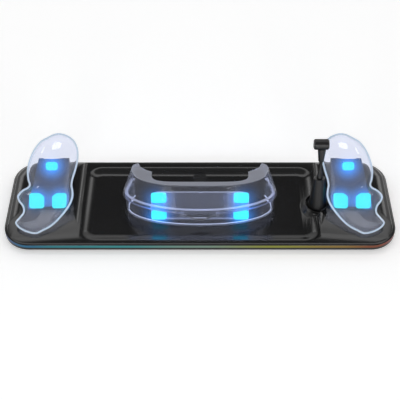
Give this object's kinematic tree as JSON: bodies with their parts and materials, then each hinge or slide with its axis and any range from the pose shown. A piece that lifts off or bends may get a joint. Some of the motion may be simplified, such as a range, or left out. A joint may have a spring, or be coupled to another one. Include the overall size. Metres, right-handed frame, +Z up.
{
  "type": "controller charging dock",
  "caption": "Wide black charging dock with slanted clear cradles at both ends, a clear headset rest between them, a lit front edge and an upright plug in a sleeve.",
  "frame": {"origin": "middle of the dock's footprint, on the desk under its rubber feet", "axes": "+X to the right along the dock, +Y towards its back, +Z up"},
  "size_m": [0.43, 0.13, 0.0898],
  "materials": {
    "shell": "satin black moulded plastic",
    "saddle": "gloss black moulded plastic",
    "milky_strip": "milky light-spreading plastic, lit from behind",
    "clear_plastic": "clear moulded plastic",
    "lit_pad": "clear-blue pad lit from behind",
    "key": "satin black touch key",
    "plug_body": "fine-grained black plastic",
    "boot_rubber": "smooth black rubber",
    "lead_cover": "black lead",
    "contact_metal": "polished contacts",
    "socket_steel": "bright socket shell",
    "board_green": "circuit board with parts",
    "lamp_board": "white flexible circuit with lamps",
    "ribbon": "white flat cable",
    "ballast_steel": "plain steel plate",
    "foot_rubber": "matt black rubber",
    "screw_steel": "plain screws"
  },
  "bodies": {
    "root": {"bottom_cover": "shell", "top_cover": "shell", "light_band": "milky_strip", "lamp_circuit": "lamp_board", "main_board": "board_green", "plug_board": "board_green", "port_board": "board_green", "power_socket": "socket_steel", "ballast_plate": "ballast_steel", "ribbon_cable": "ribbon", "left_saddle": "saddle", "right_saddle": "saddle", "left_charge_board": "board_green", "right_charge_board": "board_green", "left_pad_top": "lit_pad", "left_pad_outer": "lit_pad", "left_pad_inner": "lit_pad", "right_pad_top": "lit_pad", "right_pad_outer": "lit_pad", "right_pad_inner": "lit_pad", "left_cradle": "clear_plastic", "right_cradle": "clear_plastic", "rest_upper_band": "clear_plastic", "rest_lower_band": "clear_plastic", "rest_plate": "clear_plastic", "rest_pad_left_top": "lit_pad", "rest_pad_left_low": "lit_pad", "rest_pad_right_top": "lit_pad", "rest_pad_right_low": "lit_pad", "touch_key": "key", "plug_head": "plug_body", "plug_contacts": "contact_metal", "plug_stem": "boot_rubber", "plug_lead": "lead_cover", "plug_sleeve": "boot_rubber", "sleeve_clip": "plug_body", "rubber_feet": "foot_rubber", "cover_screws": "screw_steel"}
  },
  "joints": []
}
